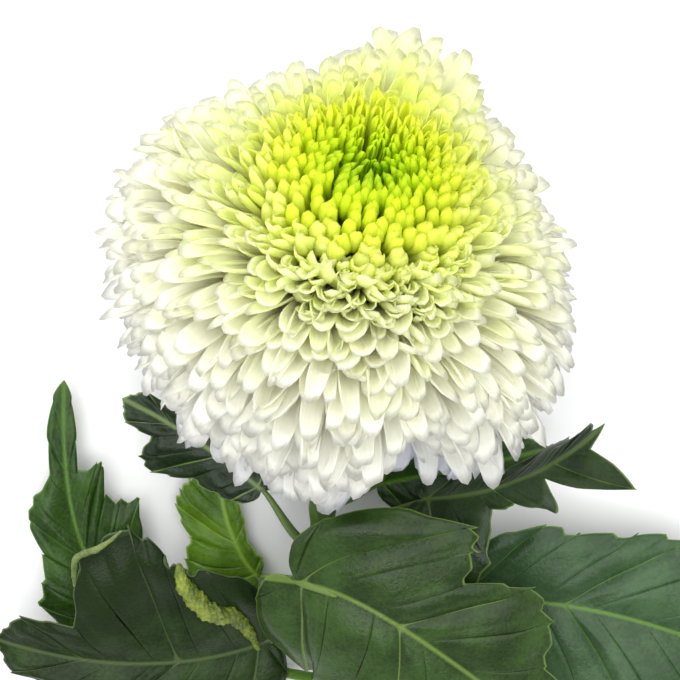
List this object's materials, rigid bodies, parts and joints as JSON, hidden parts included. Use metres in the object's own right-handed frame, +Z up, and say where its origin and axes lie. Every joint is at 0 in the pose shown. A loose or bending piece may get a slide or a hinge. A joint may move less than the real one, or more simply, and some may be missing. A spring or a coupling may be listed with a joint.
{
  "type": "pompon chrysanthemum",
  "caption": "Single cut chrysanthemum lying down: dense white head with a green eye, green cup, bent stalk and lobed dark leaves.",
  "frame": {"origin": "middle of the flower's box on the table top it lies on, with the resting face at z = 0", "axes": "+Z up from the table, +Y along the stalk from its cut end towards the head, +X to the right when the head is at the top"},
  "size_m": [0.2232, 0.2601, 0.1093],
  "materials": {
    "petals": "satin",
    "bracts": "matte",
    "stalk": "satin",
    "leaf": "glossy"
  },
  "bodies": {
    "root": {"bloom": "petals", "calyx": "bracts", "stem": "stalk", "leaf_front": "leaf", "leaf_left_low": "leaf", "leaf_left_tall": "leaf", "leaf_back_left": "leaf", "leaf_back_low": "leaf", "leaf_right_narrow": "leaf", "leaf_right_big": "leaf", "leaf_back_right": "leaf"}
  },
  "joints": []
}
